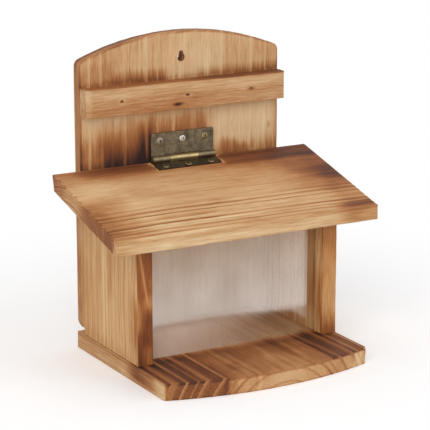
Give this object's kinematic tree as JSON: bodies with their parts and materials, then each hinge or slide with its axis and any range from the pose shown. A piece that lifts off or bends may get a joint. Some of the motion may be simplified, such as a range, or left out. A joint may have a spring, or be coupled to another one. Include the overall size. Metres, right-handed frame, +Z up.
{
  "type": "squirrel feeder box",
  "caption": "Wall-hung wooden squirrel feeder with a hinged sloping lid, a clear front panel and a curved porch to feed from.",
  "frame": {"origin": "on the ground under the middle of the feeder's overall footprint", "axes": "+Z up, +Y towards the wall the feeder hangs on, +X to the right seen from the front"},
  "size_m": [0.2036, 0.144, 0.2215],
  "materials": {
    "flamed_fir_upright": "flamed, brushed",
    "flamed_fir_level": "flamed, brushed",
    "flamed_fir_dark": "flamed, brushed",
    "clear_acrylic": "polished",
    "aged_brass": "antique",
    "steel_wire": "drawn",
    "zinc_screw": "plated",
    "steel_nail": "bright wire"
  },
  "bodies": {
    "box": {"back_board": "flamed_fir_upright", "base_board": "flamed_fir_dark", "left_side_wall": "flamed_fir_upright", "right_side_wall": "flamed_fir_upright", "front_panel": "clear_acrylic", "stop_batten": "flamed_fir_level", "hinge_wall_leaf": "aged_brass", "hinge_pin": "steel_wire", "wall_leaf_screws": "zinc_screw", "batten_nails": "steel_nail", "left_wall_back_nails": "steel_nail", "right_wall_back_nails": "steel_nail", "left_wall_base_nails": "steel_nail", "right_wall_base_nails": "steel_nail", "back_board_base_nails": "steel_nail"},
    "lid": {"roof_board": "flamed_fir_level", "hinge_roof_leaf": "aged_brass", "roof_leaf_screws": "zinc_screw"}
  },
  "joints": [
    {"name": "lid_hinge", "type": "hinge", "parent": "box", "child": "lid", "pos_m": [0, 0.0594, 0.13234], "axis": [-1, 0, 0], "range_deg": [0, 96]}
  ]
}
